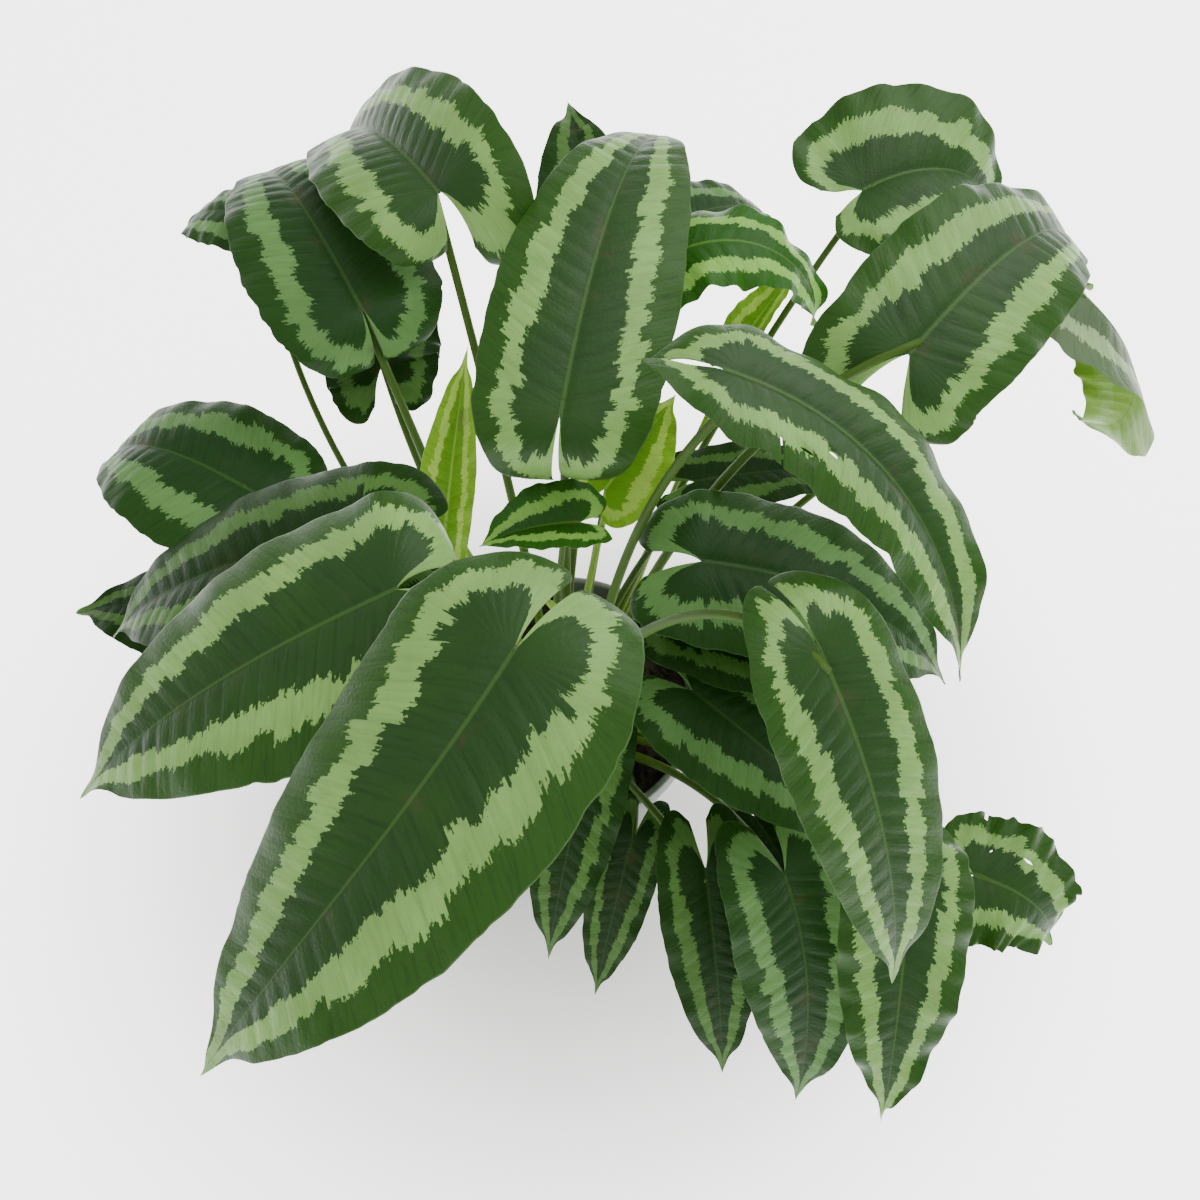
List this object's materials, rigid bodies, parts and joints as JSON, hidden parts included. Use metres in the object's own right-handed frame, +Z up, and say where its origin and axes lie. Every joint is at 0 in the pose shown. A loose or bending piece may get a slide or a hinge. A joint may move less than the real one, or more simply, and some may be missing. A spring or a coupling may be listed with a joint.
{
  "type": "potted schismatoglottis",
  "caption": "Potted foliage plant: a clump of long-stalked, arrow-shaped leaves with silvery bands, arching out of a round plastic pot of soil.",
  "frame": {"origin": "centre of the pot's flat foot, on the surface that it stands on", "axes": "+Z up along the pot's axis; the front of the plant faces -Y"},
  "size_m": [0.5598, 0.4984, 0.4067],
  "materials": {
    "pot_plastic": "satin grey moulded plastic",
    "potting_soil": "dark moist potting mix",
    "leaf_green": "satin leaf, dark green with a pale silvery band on each half",
    "young_leaf_green": "satin yellow-green young leaf",
    "shoot_green": "satin pale green furled shoot"
  },
  "bodies": {
    "root": {"pot": "pot_plastic", "soil": "potting_soil", "leaf_01": "leaf_green", "leaf_02": "leaf_green", "leaf_03": "leaf_green", "leaf_04": "leaf_green", "leaf_05": "leaf_green", "leaf_06": "leaf_green", "leaf_07": "leaf_green", "leaf_08": "leaf_green", "leaf_09": "leaf_green", "leaf_10": "leaf_green", "leaf_11": "leaf_green", "leaf_12": "leaf_green", "leaf_13": "leaf_green", "leaf_14": "leaf_green", "leaf_15": "leaf_green", "leaf_16": "leaf_green", "leaf_17": "leaf_green", "leaf_18": "leaf_green", "leaf_19": "leaf_green", "leaf_20": "leaf_green", "leaf_21": "leaf_green", "leaf_22": "leaf_green", "leaf_23": "leaf_green", "leaf_24": "leaf_green", "leaf_25": "leaf_green", "leaf_26": "leaf_green", "leaf_27": "leaf_green", "leaf_28": "leaf_green", "leaf_29": "leaf_green", "leaf_30": "leaf_green", "leaf_31": "leaf_green", "young_leaf_1": "young_leaf_green", "young_leaf_2": "young_leaf_green", "young_leaf_3": "young_leaf_green", "young_leaf_4": "young_leaf_green", "new_shoot": "shoot_green"}
  },
  "joints": []
}
